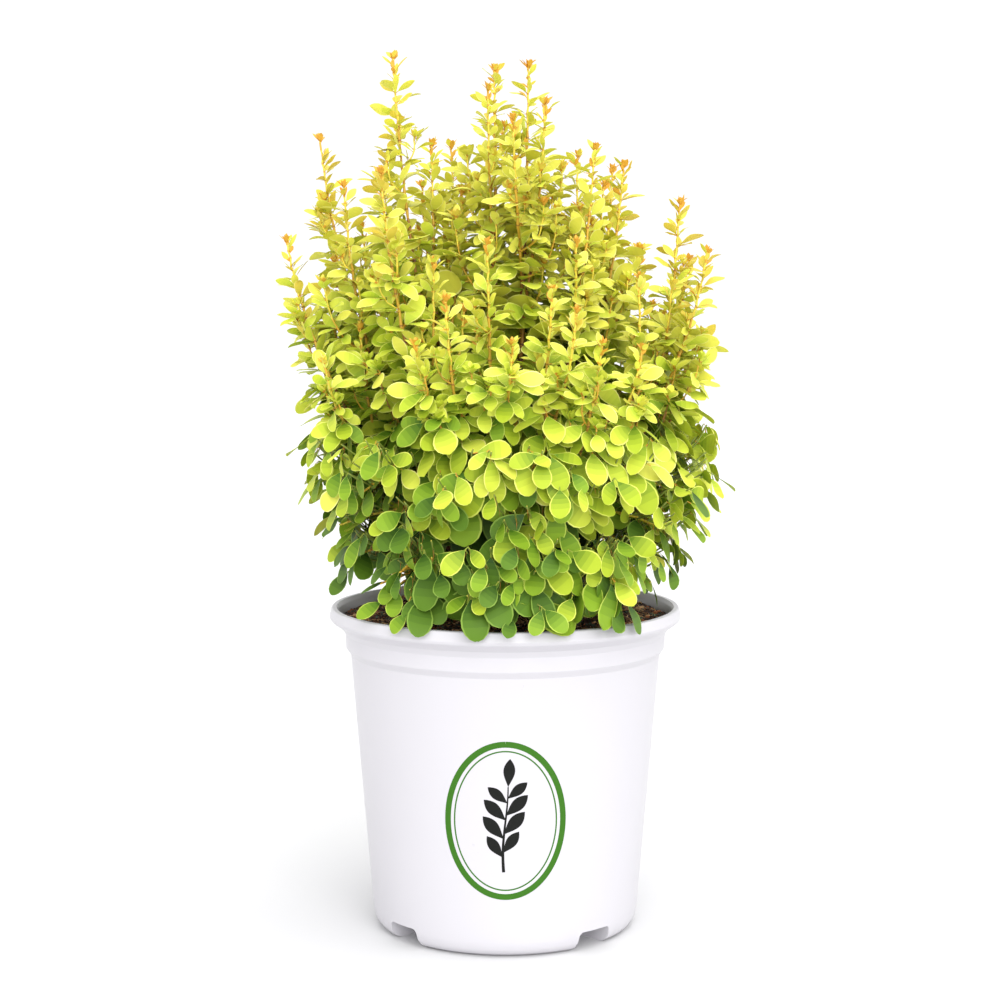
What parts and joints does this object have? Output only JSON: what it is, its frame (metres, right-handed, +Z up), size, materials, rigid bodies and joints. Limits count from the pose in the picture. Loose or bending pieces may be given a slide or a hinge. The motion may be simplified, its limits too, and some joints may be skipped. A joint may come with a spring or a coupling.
{
  "type": "potted japanese barberry shrub",
  "caption": "Golden columnar shrub with upright leafy shoots above a skirt of low foliage, growing in a round tapered nursery pot with a rolled rim and drain channels.",
  "frame": {"origin": "centre of the flat underside of the pot, on the surface that it stands on", "axes": "+Z up, -Y to the front of the plant, +X to the right seen from the front"},
  "size_m": [0.2943, 0.2722, 0.5701],
  "materials": {
    "pot_plastic": "satin",
    "potting_mix": "matte",
    "old_bark": "matte",
    "young_bark": "matte",
    "golden_foliage": "satin",
    "lime_foliage": "satin"
  },
  "bodies": {
    "root": {"pot": "pot_plastic", "potting_mix": "potting_mix", "stem_foot": "old_bark", "cane_01": "young_bark", "cane_02": "young_bark", "cane_03": "young_bark", "cane_04": "young_bark", "cane_05": "young_bark", "cane_06": "young_bark", "cane_07": "young_bark", "cane_08": "young_bark", "cane_09": "young_bark", "cane_10": "young_bark", "cane_11": "young_bark", "cane_12": "young_bark", "cane_13": "young_bark", "cane_14": "young_bark", "cane_15": "young_bark", "cane_16": "young_bark", "cane_17": "young_bark", "cane_18": "young_bark", "cane_19": "young_bark", "cane_20": "young_bark", "cane_21": "young_bark", "foliage_01": "golden_foliage", "foliage_02": "golden_foliage", "foliage_03": "golden_foliage", "foliage_04": "golden_foliage", "foliage_05": "golden_foliage", "foliage_06": "golden_foliage", "foliage_07": "golden_foliage", "foliage_08": "golden_foliage", "foliage_09": "golden_foliage", "foliage_10": "golden_foliage", "foliage_11": "golden_foliage", "foliage_12": "golden_foliage", "foliage_13": "golden_foliage", "foliage_14": "golden_foliage", "foliage_15": "golden_foliage", "foliage_16": "golden_foliage", "foliage_17": "golden_foliage", "foliage_18": "golden_foliage", "foliage_19": "golden_foliage", "foliage_20": "golden_foliage", "foliage_21": "golden_foliage", "skirt_01": "lime_foliage", "skirt_02": "lime_foliage", "skirt_03": "lime_foliage", "skirt_04": "lime_foliage", "skirt_05": "lime_foliage", "skirt_06": "lime_foliage", "skirt_07": "lime_foliage", "skirt_08": "lime_foliage", "skirt_09": "lime_foliage", "skirt_10": "lime_foliage"}
  },
  "joints": []
}
